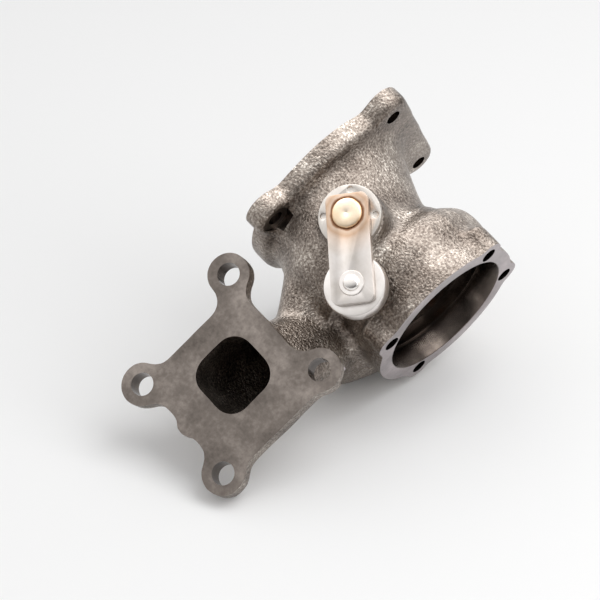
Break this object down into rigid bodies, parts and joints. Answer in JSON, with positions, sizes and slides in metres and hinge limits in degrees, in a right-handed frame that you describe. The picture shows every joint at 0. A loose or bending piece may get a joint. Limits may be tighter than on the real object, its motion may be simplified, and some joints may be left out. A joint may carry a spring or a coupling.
{
  "type": "turbine housing",
  "caption": "Cast turbine housing of a turbocharger: square inlet flange, spiral volute, open centre bore, outlet flange and a wastegate worked by an outer lever with a disc.",
  "frame": {"origin": "centre of the mouth of the centre bore, in the plane of the centre flange's face", "axes": "+Z out of the centre bore along the turbine axis, -Y the way the inlet flange faces, +X to the side of the inlet"},
  "size_m": [0.1661, 0.0967, 0.0854],
  "materials": {
    "casting": "sand cast, shot blasted, machined on its faces",
    "bush_steel": "turned, heat tinted",
    "shaft_steel": "ground",
    "weld_metal": "smooth weld bead",
    "lever_steel": "satin stainless steel",
    "valve_steel": "investment cast heat-resistant steel"
  },
  "bodies": {
    "housing": {"casting_inlet": "casting", "casting_outlet": "casting", "casting_chamber": "casting", "casting_volute": "casting", "casting_crown": "casting", "casting_centre": "casting", "shaft_bush": "bush_steel"},
    "spindle": {"wastegate_shaft": "shaft_steel", "shaft_weld": "weld_metal", "arm_weld": "weld_metal", "outer_lever": "lever_steel", "lever_disc": "lever_steel", "lever_washer": "lever_steel", "lever_pin": "lever_steel", "swing_arm": "valve_steel"},
    "valve": {"valve_flap": "valve_steel", "valve_washer": "valve_steel"}
  },
  "joints": [
    {"name": "wastegate_swing", "type": "hinge", "parent": "housing", "child": "spindle", "pos_m": [-0.001, 0, -0.0442], "axis": [0, 1, 0], "range_deg": [0, 35]},
    {"name": "flap_turn", "type": "hinge", "parent": "spindle", "child": "valve", "pos_m": [0.024, -0.014, -0.0405], "axis": [0, 0, 1], "continuous": true}
  ]
}
